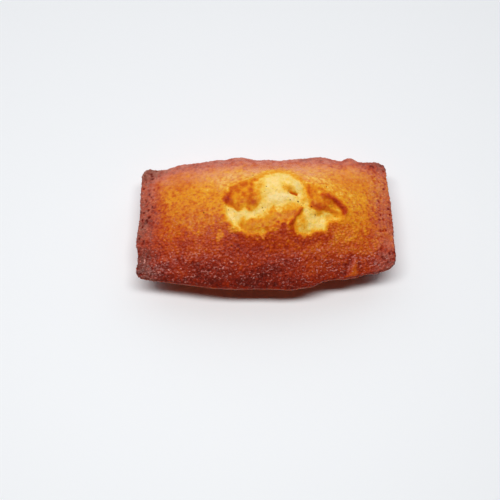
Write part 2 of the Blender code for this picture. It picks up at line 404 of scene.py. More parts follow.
# Folded lips of crust, as lines with a rise and a half-width in millimetres
LEFT_CREST = ((-13.7, 4.2), (-11.9, 7.1), (-9.3, 9.0), (-6.2, 10.2), (-3.0, 11.1))
CENTRE_LIP = ((12.3, -0.7), (11.1, -2.2), (9.7, -3.7), (8.5, -5.2), (7.9, -6.6))
RIGHT_LIP = ((19.9, 4.0), (21.8, 3.6), (23.4, 2.8), (24.9, 1.4), (25.9, -0.1), (26.4, -1.3))
LIPS = ((LEFT_CREST, 0.2, 0.9), (CENTRE_LIP, 0.6, 0.6), (RIGHT_LIP, 0.75, 1.1))

# Where the crumb puffed up or sank between the flaps: centre, reach, turn, rise
CRUMB_SWELLS = (
    ((5.0, 9.0), (9.5, 8.0), 0.0, 1.7),
    ((-1.5, 6.0), (4.5, 6.5), -15.0, 0.8),
    ((3.6, 2.2), (6.0, 2.6), 4.0, 0.55),
    ((10.2, 7.6), (2.6, 3.4), 20.0, 0.5),
    ((-11.2, -2.4), (3.4, 4.8), 20.0, -0.3),
    ((19.5, -3.2), (7.0, 2.6), 8.0, -0.6),
    ((12.0, -5.6), (3.0, 4.0), 0.0, 0.5),
)
# Smaller lumps all over the tear, in layers of height, width and seed, and the share of them on the flaps
CRUMB_LUMPS = ((0.34 * MM, 3.2 * MM, 6), (0.2 * MM, 1.5 * MM, 7), (0.1 * MM, 0.7 * MM, 8))
FLAP_LUMPINESS = 0.35

HOLLOW_CENTRE = (8.7, 5.6)
HOLLOW_REACH = (2.6, 1.4)
HOLLOW_TURN = -22.0
HOLLOW_DEPTH = 0.5 * MM

# Narrow cracks, as lines with a depth and a half-width in millimetres
HOLLOW_SLIT = ((8.1, 5.4), (8.9, 4.9), (9.6, 4.7), (10.4, 4.4))
LEFT_SLIT = ((-8.8, -0.9), (-7.0, -1.5), (-5.2, -1.6), (-2.8, -1.0), (-0.8, 0.0))
RIGHT_SLIT = ((14.8, -1.4), (16.4, -2.3), (18.4, -2.2))
TEAR_SLIT = ((-13.9, 0.4), (-13.5, -2.2), (-12.2, -4.6))
SLITS = ((HOLLOW_SLIT, 0.8, 0.38), (LEFT_SLIT, 0.12, 0.35), (RIGHT_SLIT, 0.15, 0.45), (TEAR_SLIT, 0.25, 0.5))

# The fold at the front edge: a narrow wedge that widens from its tip to the edge, with a groove on each side.
# It rises over a span of the distance inside its outline
CREASE_LEFT = ((29.2, -15.9), (28.3, -17.6), (26.8, -20.0), (24.8, -23.0))
CREASE_RIGHT = ((29.6, -15.9), (30.2, -17.6), (30.4, -20.0), (30.3, -23.0))
CREASE_RISE = 0.6 * MM
CREASE_SPAN = (-0.9 * MM, 1.1 * MM)
# The grooves: line, shift to the right and half-width in millimetres, and share of the depth
CREASE_GROOVES = ((CREASE_LEFT, -0.6, 1.2, 1.0), (CREASE_RIGHT, 0.7, 1.0, 0.5))
CREASE_DEPTH = 0.4 * MM


def smooth_line(points, closed):
    """A round curve through points given in millimetres, as metres, CURVE_STEPS stretches to each gap."""
    corners = np.array(points) * MM
    if closed:
        padded = np.concatenate([corners[-1:], corners, corners[:2]])
    else:
        padded = np.concatenate([corners[:1], corners, corners[-1:]])
    line = []
    for before, start, end, after in zip(padded, padded[1:], padded[2:], padded[3:]):
        for step in range(CURVE_STEPS):
            t = step / CURVE_STEPS
            line.append(0.5 * (2.0 * start + (end - before) * t
                               + (2.0 * before - 5.0 * start + 4.0 * end - after) * t ** 2
                               + (3.0 * start - before - 3.0 * end + after) * t ** 3))
    line.append(corners[0] if closed else corners[-1])
    return np.array(line)


def distance_to_line(x, y, points, closed=False):
    """How far each place lies from the nearest stretch of the curve through the points."""
    line = smooth_line(points, closed)
    nearest = np.full(x.shape, np.inf)
    for (ax, ay), (bx, by) in zip(line, line[1:]):
        run_x, run_y = bx - ax, by - ay
        along = np.clip(((x - ax) * run_x + (y - ay) * run_y) / (run_x ** 2 + run_y ** 2), 0.0, 1.0)
        nearest = np.minimum(nearest, np.hypot(x - ax - along * run_x, y - ay - along * run_y))
    return nearest


def depth_inside(x, y, points):
    """How far each place lies inside the closed curve through the points, negative outside it."""
    line = smooth_line(points, True)
    inside = np.zeros(x.shape, bool)
    for (ax, ay), (bx, by) in zip(line, line[1:]):
        if ay != by:
            crosses = (ay > y) != (by > y)
            inside ^= crosses & (x < ax + (y - ay) / (by - ay) * (bx - ax))
    away = distance_to_line(x, y, points, True)
    return np.where(inside, away, -away)


def near_line(x, y, points, half_width):
    """1 on the curve through the points, fading out to both sides over a half-width in millimetres."""
    return np.exp(-(distance_to_line(x, y, points) / (half_width * MM)) ** 2)


top_places = level_places[on_top]
top_x, top_y = x[on_top], y[on_top]
ragged_x = top_x + waves_at(top_places, RAGGED_RIGHT)
ragged_y = top_y + waves_at(top_places, RAGGED_BACK)
tear_depth = depth_inside(ragged_x, ragged_y, TEAR)
flap_depths = [depth_inside(ragged_x, ragged_y, outline) for outline, _, _ in FLAPS]
opened = smooth_step(tear_depth / TEAR_LIP)
flaps = [smooth_step(depth / (edge * MM)) for depth, (_, _, edge) in zip(flap_depths, FLAPS)]
crumb_share = opened * (1.0 - np.maximum.reduce(flaps))

relief = -TEAR_DEPTH * opened
for centre, reach, turn, rise in CRUMB_SWELLS:
    relief += rise * MM * oval(ragged_x, ragged_y, centre, reach, turn) * opened
hollow = oval(ragged_x, ragged_y, HOLLOW_CENTRE, HOLLOW_REACH, HOLLOW_TURN)
relief -= HOLLOW_DEPTH * hollow
for (_, rise, _), flap in zip(FLAPS, flaps):
    relief += rise * MM * opened * flap
for line, rise, half_width in LIPS:
    relief += rise * MM * near_line(ragged_x, ragged_y, line, half_width)
for line, depth, half_width in SLITS:
    relief -= depth * MM * near_line(ragged_x, ragged_y, line, half_width)
lumpiness = FLAP_LUMPINESS + (1.0 - FLAP_LUMPINESS) * crumb_share
relief += waves_at(top_places, CRUMB_LUMPS) * opened * lumpiness
crease_share = fade(depth_inside(top_x, top_y, CREASE_LEFT + CREASE_RIGHT[::-1]), CREASE_SPAN)
crease_edge = sum(share * near_line(top_x - shift * MM, top_y, line, half_width)
                  for line, shift, half_width, share in CREASE_GROOVES)
relief += CREASE_RISE * crease_share - CREASE_DEPTH * crease_edge
z[on_top] += relief

# The grain of the crust
# As the batter dried and browned, its surface set into fine close bumps with pinholes between them, coarser
# and glossier along the rim and on the front slope. Air that escaped at the mould left a few larger pores.

# The parts of the cake, each as the span over which it comes in: shares of the half width for the front and
# the back, shares of the half length for the ends, and rings below the top for the sides
FRONT_SPAN = (0.05, 0.55)
BACK_SPAN = (0.35, 0.65)
END_SPAN = (0.76, 0.96)
SIDE_SPAN = (3.0, 6.0)

BUMP_SIZE = 0.9 * MM
BUMP_RISE = 0.27 * MM
BUMP_LEVEL = 0.6
BUMP_CREASE = 0.55
BUMP_STRETCH = (0.66, 1.05, 1.0)
BUMP_SHIFT = Vector((3.1, 8.7, 1.9))
FINE_GRAIN = ((0.45, 0.45 * MM, 9),)
LUMP_WAVES = ((0.16 * MM, 5.5 * MM, 10), (0.09 * MM, 2.2 * MM, 10))

# How coarse the grain is, and what it loses at the back, on the sides, in the tear and on the folded crease
PLAIN_COARSENESS = 0.4
FRONT_COARSENESS = 0.6
END_COARSENESS = 0.45
BACK_FINENESS = 0.2
SIDE_FINENESS = 0.2
TORN_FINENESS = 0.6
CREASE_FINENESS = 0.7
SIDE_SMOOTHNESS = 0.6

# Pinholes, whose outlines waves make uneven, with a height and a width in pinhole sizes. Most are at the ends
PINHOLE_SIZE = 1.7 * MM
PINHOLE_DEPTH = 0.16 * MM
PINHOLE_SPAN = (0.36, 0.16)
PINHOLE_WAVES = ((0.16, 0.45), (0.2, 2.2))
PINHOLE_SHIFT = Vector((5.3, 2.9, 7.1))
PINHOLES_ANYWHERE = 0.2
PINHOLES_ON_FRONT = 0.35
CRUMB_PORE_SIZE = 0.5 * MM
CRUMB_PORE_DEPTH = 0.16 * MM
CRUMB_PORE_SPAN = (0.3, 0.55)

# The grain comes in over these heights, so that the base stays flat
RESTING_SPAN = (0.0, 0.6 * MM)

# Pores near the back edge, in millimetres: centre, reach and depth
BACK_PORES = (
    ((-23.4, 19.7), (0.9, 0.6), 0.35), ((-21.8, 19.3), (0.6, 0.5), 0.3), ((-30.0, 19.5), (0.5, 0.5), 0.3),
    ((-27.9, 18.6), (0.5, 0.4), 0.25), ((20.2, 20.1), (1.1, 0.6), 0.4), ((23.9, 17.6), (0.7, 0.5), 0.3),
    ((24.8, 17.5), (0.5, 0.4), 0.25), ((28.8, 17.4), (0.6, 0.5), 0.3), ((-10.1, 19.2), (1.4, 0.5), 0.35),
    ((-11.4, 18.6), (0.8, 0.5), 0.3), ((-8.7, 18.8), (0.7, 0.4), 0.3), ((-16.6, 19.4), (0.9, 0.4), 0.3),
)
SIDE_PORES = 90
SIDE_PORE_SEED = 7
SIDE_PORE_REACH = (0.3, 0.85)
SIDE_PORE_DEPTH = 0.45


def nearest_two(places, size, shift):
    """How far each place lies from the nearest two of points strewn about one size apart, in sizes."""
    return np.array([noise.voronoi(Vector(place) / size + shift)[0][:2] for place in places]).T


def pits_at(places, size, seed):
    """Uneven pits strewn at chance: 1 at the bottom of each, 0 outside them."""
    away, _ = nearest_two(places, size, PINHOLE_SHIFT * seed)
    away += waves_at(places, [(rise, span * size, seed) for rise, span in PINHOLE_WAVES])
    return fade(away, PINHOLE_SPAN)


def bumps_at(places, size):
    """A cobbled pattern: 1 on the crown of each small bump, 0 in the narrow creases between them."""
    nearest, second = nearest_two(places, size, BUMP_SHIFT)
    return smooth_step((second - nearest) / BUMP_CREASE)


smooth_places = np.stack([x, y, z], axis=1)
cake_mesh.vertices.foreach_set("co", smooth_places.ravel())
cake_mesh.update()
normals = np.zeros(len(smooth_places) * 3)
cake_mesh.vertices.foreach_get("normal", normals)
normals = normals.reshape(-1, 3)

crumb = np.zeros(len(x))
crumb[on_top] = crumb_share
front_share = np.where(on_top, fade(-back, FRONT_SPAN), 0.0)
end_share = fade(np.abs(across), END_SPAN)
back_share = np.where(on_top, fade(back, BACK_SPAN), 0.0)
side_share = fade(ring, SIDE_SPAN)
coarseness = PLAIN_COARSENESS + np.maximum(FRONT_COARSENESS * front_share, END_COARSENESS * end_share)
coarseness -= BACK_FINENESS * back_share + SIDE_FINENESS * side_share
coarseness[on_top] *= (1.0 - TORN_FINENESS * opened) * (1.0 - CREASE_FINENESS * crease_share)
bumps = bumps_at(smooth_places * BUMP_STRETCH, BUMP_SIZE)
grain = (bumps - BUMP_LEVEL + waves_at(smooth_places, FINE_GRAIN)) * coarseness * (1.0 - crumb)
lumps = waves_at(smooth_places, LUMP_WAVES) * (1.0 - SIDE_SMOOTHNESS * side_share) * (1.0 - crumb)
pinholes = pits_at(smooth_places, PINHOLE_SIZE, seed=15) * (1.0 - crumb)
pinhole_share = np.maximum(end_share, PINHOLES_ON_FRONT * front_share) * (1.0 - side_share)
pinholes *= PINHOLES_ANYWHERE + (1.0 - PINHOLES_ANYWHERE) * pinhole_share
crumb_pores = np.zeros(len(x))
crumb_pores[on_top] = fade(noise_at(top_places, CRUMB_PORE_SIZE, seed=17), CRUMB_PORE_SPAN) * crumb_share

pores = np.zeros(len(x))
for centre, reach, depth in BACK_PORES:
    pores[on_top] += depth * oval(ragged_x, ragged_y, centre, reach)
picker = np.random.default_rng(SIDE_PORE_SEED)
wall_points = np.flatnonzero((ring > RIM_RINGS) & (ring <= RIM_RINGS + WALL_RINGS))
for centre in smooth_places[picker.choice(wall_points, SIDE_PORES)]:
    reach = picker.uniform(*SIDE_PORE_REACH) * MM
    away = np.linalg.norm(smooth_places[wall_points] - centre, axis=1)
    pores[wall_points] += SIDE_PORE_DEPTH * reach / MM * soft_bump(away / reach)

raised = BUMP_RISE * grain + lumps - pores * MM - PINHOLE_DEPTH * pinholes - CRUMB_PORE_DEPTH * crumb_pores
raised *= fade(smooth_places[:, 2], RESTING_SPAN)
cake_places = smooth_places + normals * raised[:, None]
cake_mesh.vertices.foreach_set("co", cake_places.ravel())

# The browning
# The crust's colour is how far each place baked: 0 is pale crumb, a third is golden, and 1 is nearly black.
# The front slope, the ends and the folded lips baked most, and the sides took an even heat from the mould.
# Painted light is added too: shade on the front slope, in pores, pinholes, slits, grooves and a few spots of
# the tear, and light on the back slope.

# Browning from the front rim to the back rim, partly painted light: the front slope is darker as painted
# shade and the back slope paler as painted light, since the light comes from above and behind.
BROWNING_BACK = (-1.0, -0.85, -0.65, -0.45, -0.25, 0.0, 0.2, 0.4, 0.6, 0.72, 0.85, 0.96)
BROWNING_AND_SHADE_LEVELS = (0.86, 0.83, 0.70, 0.57, 0.47, 0.39, 0.33, 0.28, 0.27, 0.32, 0.54, 0.72)
SIDE_BROWNING = 0.58
SIDE_BROWNING_SPAN = (1.0, 4.0)
DARKEST_BROWNING = 0.92

# Where the halves browned more or less: the span along the length, in millimetres, over which that comes in,
# and how much it is on the front slope and elsewhere
HALF_BROWNINGS = (
    ((-2.0, 16.0), -0.18, 0.0),
    ((-24.0, -36.0), 0.0, 0.08),
    ((-24.0, -38.0), -0.08, 0.0),
    ((20.0, 30.0), 0.0, -0.03),
)

# How much more the left and the right end browned, and the share of it that their front parts lack
END_BROWNING = (0.33, 0.24)
END_BROWNING_SPAN = (0.74, 0.98)
END_FRONT_LACK = (0.4, 0.6)
LEFT_RIM_BROWNING = 0.03
LEFT_RIM_SPAN = (-0.8, -0.96)

# Uneven browning: broad patches, wrinkles that run along the cake, and close mottles
BROAD_PATCHES = ((0.05, 7.0 * MM, 11),)
WRINKLE_SIZE = 2.6 * MM
WRINKLE_STRETCH = (0.7, 1.2, 1.0)
WRINKLE_BROWNING = 0.05
FRONT_WRINKLE_BROWNING = 0.07
MOTTLE_SIZE = 0.9 * MM
MOTTLE_SPAN = (-0.02, 0.48)
MOTTLE_MEAN = 0.3
MOTTLE_BROWNING = 0.14
MOTTLES_ON_FRONT = -0.5
MOTTLES_ON_ENDS = 0.4
MOTTLES_ON_SIDES = -0.5

# The scorched crust before the tear, and the paler crust around the rest of it
BEFORE_TEAR_BACK = (-3.0 * MM, -7.0 * MM)
BEFORE_TEAR_ALONG = (26.0 * MM, 20.0 * MM)
SCORCHED_DISTANCE = 1.5 * MM
SCORCHED_WIDTH = 1.7 * MM
SCORCHED_STRENGTH = 0.85
SCORCHED_LEVEL = 0.65
HALO_WIDTH = 3.5 * MM
HALO_BROWNING = -0.08

# The crumb: its tone, its patches, and its border, whose width depends on how far back it lies
PATCHES = ((1.0, 1.7 * MM, 14), (0.6, 0.8 * MM, 18))
FRAYING = ((0.7 * MM, 1.3 * MM, 19), (0.4 * MM, 0.6 * MM, 20))
CRUMB_SPAN = (-0.5 * MM, 1.0 * MM)
CRUMB_TONE = 0.065
CRUMB_PATCHINESS = 0.05
BORDER_BACK = (-8.0 * MM, 0.0, 8.0 * MM)
BORDER_WIDTHS = (3.4 * MM, 2.2 * MM, 1.5 * MM)
BORDER_BROWNING = 0.2

# The flaps: how far in their colour is full, how much of it they have at their outline, and their tones
IN_TEAR_SPAN = (-0.8 * MM, 0.4 * MM)
FLAP_REACH = 3.4 * MM
LEFT_FLAP_REACH = (1.2 * MM, 4.6 * MM)
LEFT_FLAP_ALONG = (-6.0 * MM, -1.0 * MM)
LEFT_FLAP_START = 0.3
CENTRE_FLAP_START = 0.3
CENTRE_FLAP_FRAYING = 1.5
RIGHT_FLAP_START = 0.45
LEFT_FLAP_TONE = 0.36
RIGHT_FLAP_TONE = 0.34
CENTRE_FLAP_BACK = (-10.5 * MM, -9.0 * MM, -7.0 * MM, -3.0 * MM, 1.0 * MM)
CENTRE_FLAP_TONES = (0.52, 0.39, 0.34, 0.33, 0.23)
FLAP_PATCHINESS = 0.2

# The dark patch at the front of the centre flap, and the folded crease at the front edge, with painted shade
# in its grooves
PATCH_SPAN = (-0.3 * MM, 0.7 * MM)
PATCH_LEVEL = 0.57
PATCH_PATCHINESS = 0.1
CREASE_STRENGTH = 0.85
CREASE_LEVEL = 0.5
CREASE_GROOVE_SHADE = 0.14

# Painted shade in pores and pinholes, darker the deeper they are: a pore as much as its depth makes of a full
# one, in millimetres, up to a most
PORE_SHADE = 0.12
PORE_FULL_DEPTH = 0.3
PORE_MOST = 1.5
PINHOLE_SHADE = 0.15
CRUMB_PORE_SHADE = 0.07

# The crease attribute: higher in the creases of the grain, lower on its crowns
CREASE_MIDDLE = 0.5
CREASE_PER_GRAIN = 0.8

# Places that toasted more or less than what is around them, and a few spots of painted shade: centre, reach,
# turn, browning and strength
TOASTED_SPOTS = (
    # The crumb: pale crowns, gold towards its borders, and painted shade low on the right
    ((3.0, 9.9), (3.6, 2.6), 0.0, 0.03, 0.8),
    ((2.8, 12.6), (3.5, 1.2), 0.0, 0.14, 0.6),
    ((6.7, 7.8), (2.8, 1.8), -20.0, 0.16, 0.7),
    ((8.2, 6.3), (3.2, 2.1), -22.0, 0.25, 0.95),
    ((4.4, 3.4), (5.6, 1.9), 4.0, -0.04, 0.95),
    ((-11.6, -2.2), (2.2, 3.2), 12.0, 0.0, 0.9),
    ((13.2, 5.2), (1.1, 4.8), 0.0, 0.20, 0.8),
    ((12.6, 2.4), (1.9, 2.0), 0.0, 0.24, 0.75),
    ((12.0, 10.7), (1.7, 1.0), -35.0, 0.37, 0.85),
    ((-15.0, -8.2), (1.5, 2.7), -25.0, 0.26, 0.65),
    ((12.2, -4.8), (2.4, 4.4), 8.0, 0.28, 0.85),
    ((15.8, -4.2), (2.6, 2.6), 0.0, 0.13, 0.5),
    # Painted shade in the crumb below the right flap
    ((21.4, -3.2), (2.8, 1.8), 0.0, 0.26, 0.7),
    ((18.0, -6.3), (3.2, 1.8), 0.0, 0.06, 0.8),
    # The left flap: a scorched tip and crest, a dark streak of painted shade on its lower edge, and lighter
    # lumps
    ((-12.6, 3.9), (1.6, 2.3), -35.0, 0.74, 0.95),
    # Painted shade on the flap's lower edge, which slopes away from the light
    ((-11.2, 2.0), (2.8, 1.1), -40.0, 0.48, 0.85),
    ((-8.8, 0.3), (1.8, 0.9), -30.0, 0.46, 0.8),
    ((-9.2, 4.7), (2.0, 1.5), 0.0, 0.29, 0.8),
    ((-5.0, -1.9), (4.4, 1.1), 4.0, 0.04, 0.85),
    ((-7.0, 0.9), (1.7, 1.5), 8.0, 0.22, 0.85),
    ((-4.9, 3.2), (4.2, 1.9), -65.0, 0.50, 0.9),
    ((-10.2, 7.9), (2.4, 0.8), 42.0, 0.50, 0.8),
    ((-6.6, 9.3), (2.3, 1.1), 15.0, 0.47, 0.8),
    ((-2.9, 10.9), (1.4, 0.9), 20.0, 0.48, 0.8),
    ((-1.4, 8.4), (2.6, 4.4), -10.0, 0.25, 0.75),
    # The centre flap: a pale tongue, gold lumps, and dark specks at its front
    ((-7.2, -4.4), (1.6, 2.4), 0.0, 0.21, 0.7),
    ((-4.9, -2.7), (2.7, 1.3), 8.0, 0.05, 0.9),
    ((-3.6, -4.9), (2.6, 1.6), 0.0, 0.36, 0.8),
    ((-6.4, -6.4), (2.6, 1.8), 0.0, 0.20, 0.7),
    ((0.9, -5.9), (1.8, 1.2), 0.0, 0.18, 0.7),
    ((-2.7, -8.0), (2.8, 1.3), 0.0, 0.17, 0.7),
    ((-0.9, -9.8), (1.6, 1.3), -20.0, 0.32, 0.85),
    ((9.8, 0.2), (2.8, 1.9), 0.0, 0.29, 0.7),
    ((6.9, -2.8), (3.2, 2.2), 0.0, 0.38, 0.7),
    ((7.2, -0.2), (3.0, 1.7), 0.0, 0.17, 0.8),
    ((2.0, -3.6), (2.6, 2.0), 0.0, 0.26, 0.6),
    ((3.9, -5.3), (0.75, 0.75), 0.0, 0.68, 0.9),
    # The right flap: an orange-red band above its front edge, and painted shade below that edge and under its
    # lip
    ((14.6, 7.3), (1.7, 1.3), 0.0, 0.42, 0.7),
    ((17.5, 3.4), (2.5, 1.7), 0.0, 0.26, 0.7),
    ((17.6, 0.0), (4.2, 1.5), -8.0, 0.58, 0.95),
    ((22.9, 1.3), (2.7, 1.5), -25.0, 0.42, 0.75),
    # Painted shade in the crumb under the right lip and below the flap's front edge
    ((23.5, -1.6), (2.8, 1.6), -12.0, 0.42, 0.85),
    ((17.2, -2.2), (2.6, 1.0), 0.0, 0.27, 0.75),
    ((15.0, 5.4), (1.3, 2.6), 10.0, 0.50, 0.8),
    ((21.3, -0.8), (2.4, 1.5), 0.0, 0.52, 0.8),
    # The crust around the tear
    ((-11.0, -6.8), (3.0, 2.2), 0.0, 0.20, 0.8),
    ((25.5, -7.4), (4.5, 4.0), 0.0, 0.48, 0.5),
    ((30.5, 11.0), (10.0, 6.5), 0.0, 0.44, 0.7),
    ((-27.5, 12.5), (9.5, 6.0), 0.0, 0.47, 0.7),
    ((27.5, 3.5), (2.6, 3.0), 0.0, 0.40, 0.5),
    ((3.0, 19.5), (13.0, 4.0), 0.0, 0.44, 0.5),
    ((31.5, -12.5), (7.5, 5.0), 0.0, 0.42, 0.55),
    ((-22.0, -13.0), (8.0, 4.0), 0.0, 0.45, 0.6),
    ((-28.0, -19.0), (6.0, 3.0), 0.0, 0.58, 0.6),
    ((-8.5, -17.0), (10.0, 5.0), 0.0, 0.58, 0.7),
    ((8.4, -17.5), (6.0, 4.0), 0.0, 0.82, 0.5),
    ((9.0, -24.0), (9.0, 3.0), 0.0, 0.90, 0.6),
)
# Lines that toasted so, and the hollow's slit with painted shade: line, half-width, browning and strength
CRUMB_TOP = ((-1.8, 12.6), (0.4, 14.1), (3.5, 14.8), (6.2, 14.9), (9.2, 13.4), (11.3, 11.2))
TOASTED_LINES = (
    (CRUMB_TOP, 0.9, 0.27, 0.85),
    (RIGHT_LIP, 1.1, 0.60, 0.85),
    (RIGHT_LIP[1:], 0.8, 0.72, 0.7),
    (CENTRE_LIP, 0.55, 0.58, 0.85),
    # Painted shade in the narrow slit of the hollow
    (HOLLOW_SLIT[1:], 0.45, 0.60, 0.95),
)


def blended(values, share, level):
    """Takes values to a level where share is 1, and leaves them where share is 0."""
    return values + (level - values) * share


browning_and_shade = np.interp(back, BROWNING_BACK, BROWNING_AND_SHADE_LEVELS)
for span, on_front, elsewhere in HALF_BROWNINGS:
    browning_and_shade += fade(x / MM, span) * (on_front * front_share + elsewhere * (1.0 - front_share))
end_browning = np.where(x < 0.0, *END_BROWNING) * (1.0 - np.where(x < 0.0, *END_FRONT_LACK) * front_share)
browning_and_shade += end_browning * fade(np.abs(across), END_BROWNING_SPAN)
browning_and_shade += LEFT_RIM_BROWNING * fade(across, LEFT_RIM_SPAN)
browning_and_shade = blended(browning_and_shade, fade(ring, SIDE_BROWNING_SPAN), SIDE_BROWNING)
browning_and_shade += waves_at(smooth_places, BROAD_PATCHES)
wrinkles = noise_at(smooth_places * WRINKLE_STRETCH, WRINKLE_SIZE, seed=12)
browning_and_shade += (WRINKLE_BROWNING + FRONT_WRINKLE_BROWNING * front_share) * wrinkles
mottles = fade(noise_at(smooth_places, MOTTLE_SIZE, seed=16), MOTTLE_SPAN) - MOTTLE_MEAN
mottles *= 1.0 + MOTTLES_ON_FRONT * front_share + MOTTLES_ON_ENDS * end_share
mottles *= 1.0 + MOTTLES_ON_SIDES * side_share
browning_and_shade += MOTTLE_BROWNING * mottles

top_browning_and_shade = browning_and_shade[on_top]
before_tear = fade(top_y, BEFORE_TEAR_BACK) * fade(top_x, BEFORE_TEAR_ALONG)
outside = -tear_depth
scorched_band = np.exp(-((outside - SCORCHED_DISTANCE) / SCORCHED_WIDTH) ** 2) * before_tear
top_browning_and_shade = blended(top_browning_and_shade, SCORCHED_STRENGTH * scorched_band, SCORCHED_LEVEL)
halo = np.exp(-np.clip(outside, 0.0, None) / HALO_WIDTH) * (1.0 - before_tear)
top_browning_and_shade += HALO_BROWNING * halo

patchy = waves_at(top_places, PATCHES)
frayed = waves_at(top_places, FRAYING) * before_tear
border = 1.0 - smooth_step(tear_depth / np.interp(top_y, BORDER_BACK, BORDER_WIDTHS))
crumb_tone = CRUMB_TONE + CRUMB_PATCHINESS * patchy + BORDER_BROWNING * border
top_browning_and_shade = blended(top_browning_and_shade, fade(tear_depth + frayed, CRUMB_SPAN), crumb_tone)

in_tear = fade(tear_depth, IN_TEAR_SPAN)
left_depth, centre_depth, right_depth = flap_depths
left_reach = blended(LEFT_FLAP_REACH[0], fade(top_x, LEFT_FLAP_ALONG), LEFT_FLAP_REACH[1])
frayed_depth = centre_depth - CENTRE_FLAP_FRAYING * frayed
centre_tone = np.interp(top_y, CENTRE_FLAP_BACK, CENTRE_FLAP_TONES)
flap_tones = (
    (smooth_step(left_depth / left_reach + LEFT_FLAP_START) * in_tear, LEFT_FLAP_TONE),
    (smooth_step(frayed_depth / FLAP_REACH + CENTRE_FLAP_START), centre_tone),
    (smooth_step(right_depth / FLAP_REACH + RIGHT_FLAP_START) * in_tear, RIGHT_FLAP_TONE),
)
for share, tone in flap_tones:
    top_browning_and_shade = blended(top_browning_and_shade, share, tone + FLAP_PATCHINESS * patchy)
for centre, reach, turn, level, strength in TOASTED_SPOTS:
    top_browning_and_shade = blended(top_browning_and_shade, strength * oval(ragged_x, ragged_y, centre, reach, turn), level)
scorched = fade(depth_inside(ragged_x, ragged_y, SCORCHED_PATCH), PATCH_SPAN)
top_browning_and_shade = blended(top_browning_and_shade, scorched, PATCH_LEVEL + PATCH_PATCHINESS * patchy)
for line, half_width, level, strength in TOASTED_LINES:
    top_browning_and_shade = blended(top_browning_and_shade, strength * near_line(ragged_x, ragged_y, line, half_width), level)
top_browning_and_shade = blended(top_browning_and_shade, CREASE_STRENGTH * crease_share, CREASE_LEVEL)
# Painted shade in the grooves on both sides of the crease
top_browning_and_shade += CREASE_GROOVE_SHADE * crease_edge
browning_and_shade[on_top] = top_browning_and_shade
# Painted shade in the pores, pinholes and crumb pores, darker the deeper they are
browning_and_shade += PORE_SHADE * np.clip(pores / PORE_FULL_DEPTH, 0.0, PORE_MOST)
browning_and_shade += PINHOLE_SHADE * pinholes + CRUMB_PORE_SHADE * crumb_pores


def store(name, values):
    """Keeps one number for each point of the cake's mesh, which its materials read."""
    layer = cake_mesh.attributes.new(name, "FLOAT", "POINT")
    layer.data.foreach_set("value", np.clip(values, 0.0, 1.0).astype(np.float32))


store("browning_and_shade", np.minimum(browning_and_shade, DARKEST_BROWNING))
store("crumb", crumb)
# The material paints shade into the creases and highlight onto the crowns from this, and gives the crowns
# more coat
store("crease", CREASE_MIDDLE - CREASE_PER_GRAIN * grain)

# The butter on the crust, with painted glints and painted sheen
# Browned butter makes the crust glossy on the coarse front slope and the ends. Painted glints there stand in
# for the lamp's reflection, and a pale painted sheen along the back and the ends stands in for the room's
# reflection.
# The torn crumb, the pinholes and the sides have almost none.

# The crust has its full gloss, painted glints and painted sheen from this far outside the tear, and the sides
# lack most of them
OPEN_CRUST_SPAN = (0.3 * MM, 1.9 * MM)
SIDE_LACK = 0.8
SIDE_LACK_SPAN = (0.0, 4.0)

# Gloss and painted glints: on the front slope, with less at the very rim, at the ends, and everywhere else
FRONT_GREASE_AND_GLINT_SPAN = (0.4, 0.8)
FRONT_RIM_SPAN = (0.9, 0.98)
FRONT_RIM_LACK = 0.4
END_GREASE_AND_GLINTS = 0.5
LEAST_GREASE_AND_GLINTS = 0.25
# A duller strip just before the tear, as centre and reach in millimetres
DULL_STRIP = ((0.0, -12.0), (20.0, 4.5))
DULL_STRIP_LACK = 0.85

# The painted sheen at the left and the right end, what their front parts lack of it, and the painted sheen
# elsewhere
END_SHEEN = (0.22, 0.18)
END_FRONT_SHEEN_LACK = (0.14, 0.02)
FRONT_SHEEN = 0.015
MIDDLE_SHEEN = 0.02
MIDDLE_SHEEN_SPAN = (-0.3, 0.0)
BACK_SHEEN = 0.29
BACK_SHEEN_WIDTH = 0.42
# Where the painted sheen of the back starts, in the middle and towards the ends, and how it thins to the
# right
BACK_SHEEN_START = (0.28, 0.46)
BACK_SHEEN_ALONG = (14.0 * MM, 28.0 * MM)
RIGHT_SHEEN_LACK = 0.25
RIGHT_SHEEN_SPAN = (18.0 * MM, 28.0 * MM)
RIGHT_END_SHEEN_LACK = 0.6

open_crust = (1.0 - pinholes) * (1.0 - SIDE_LACK * fade(ring, SIDE_LACK_SPAN))
open_crust[on_top] *= fade(outside, OPEN_CRUST_SPAN)
front_grease_and_glints = fade(-back, FRONT_GREASE_AND_GLINT_SPAN) * (1.0 - FRONT_RIM_LACK * fade(-back, FRONT_RIM_SPAN))
grease_and_glints = np.maximum(np.maximum(front_grease_and_glints, END_GREASE_AND_GLINTS * end_share), LEAST_GREASE_AND_GLINTS)
grease_and_glints *= 1.0 - DULL_STRIP_LACK * oval(x, y, *DULL_STRIP)
# The gloss of the butter and the share of painted glints
store("grease_and_glints", grease_and_glints * open_crust)

# Painted sheen that stands in for the room's reflection: at the ends, along the back and faintly on the front
end_sheen = (np.where(x < 0.0, *END_SHEEN) - np.where(x < 0.0, *END_FRONT_SHEEN_LACK) * front_share) * end_share
sheen_start = blended(BACK_SHEEN_START[0], fade(np.abs(x), BACK_SHEEN_ALONG), BACK_SHEEN_START[1])
back_sheen = BACK_SHEEN * smooth_step((back - sheen_start) / BACK_SHEEN_WIDTH)
back_sheen += MIDDLE_SHEEN * fade(back, MIDDLE_SHEEN_SPAN)
back_sheen *= 1.0 - RIGHT_END_SHEEN_LACK * end_share * (x > 0.0)
back_sheen *= 1.0 - RIGHT_SHEEN_LACK * fade(x, RIGHT_SHEEN_SPAN)
store("painted_sheen", np.maximum.reduce([FRONT_SHEEN * front_share, end_sheen, back_sheen]) * open_crust)

